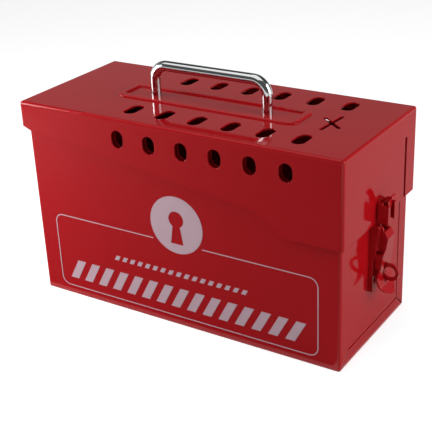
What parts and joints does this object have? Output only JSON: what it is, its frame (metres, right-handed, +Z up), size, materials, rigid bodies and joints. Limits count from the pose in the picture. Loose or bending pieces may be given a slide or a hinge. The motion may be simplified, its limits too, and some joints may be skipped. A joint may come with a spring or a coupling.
{
  "type": "group lockout box",
  "caption": "Hinged steel lockout box with padlock slots along the lid's edges, a carrying handle, a key slit and a toggle latch with a padlock eye.",
  "frame": {"origin": "centre of the lid's outline, on the plane that the box stands on", "axes": "+X along the box towards the latch end, +Y towards the rear, +Z up"},
  "size_m": [0.2754, 0.113, 0.1808],
  "materials": {
    "red_paint": "gloss",
    "chromed_steel": "polished",
    "zinc_plated_steel": "satin"
  },
  "bodies": {
    "box": {"body_front_and_ends": "red_paint", "body_bottom_and_rear": "red_paint", "hinge_body_leaf": "red_paint", "hinge_pin": "zinc_plated_steel", "hinge_body_rivets": "red_paint", "latch_base": "red_paint", "latch_padlock_eye": "red_paint", "latch_lever_rivets": "red_paint", "latch_base_rivets": "red_paint"},
    "lid": {"lid_shell": "red_paint", "handle_rod": "chromed_steel", "handle_washers": "zinc_plated_steel", "handle_nuts": "zinc_plated_steel", "hinge_lid_leaf": "red_paint", "hinge_lid_rivets": "red_paint", "keeper": "red_paint", "keeper_rivets": "red_paint"},
    "lever": {"latch_lever": "red_paint", "latch_bail_pin": "red_paint"},
    "bail": {"latch_bail": "red_paint"}
  },
  "joints": [
    {"name": "lid_hinge", "type": "hinge", "parent": "box", "child": "lid", "pos_m": [-0.1266, 0, 0.1334], "axis": [0, -1, 0], "range_deg": [0, 108]},
    {"name": "lever_pivot", "type": "hinge", "parent": "box", "child": "lever", "pos_m": [0.1322, -0.0013, 0.087], "axis": [0, -1, 0], "range_deg": [0, 80]},
    {"name": "bail_pivot", "type": "hinge", "parent": "lever", "child": "bail", "pos_m": [0.1306, -0.0013, 0.0736], "axis": [0, 1, 0], "range_deg": [0, 52]}
  ],
  "couplings": [
    {"joint": "bail_pivot", "follows": "lever_pivot", "ratio": 0.65}
  ]
}
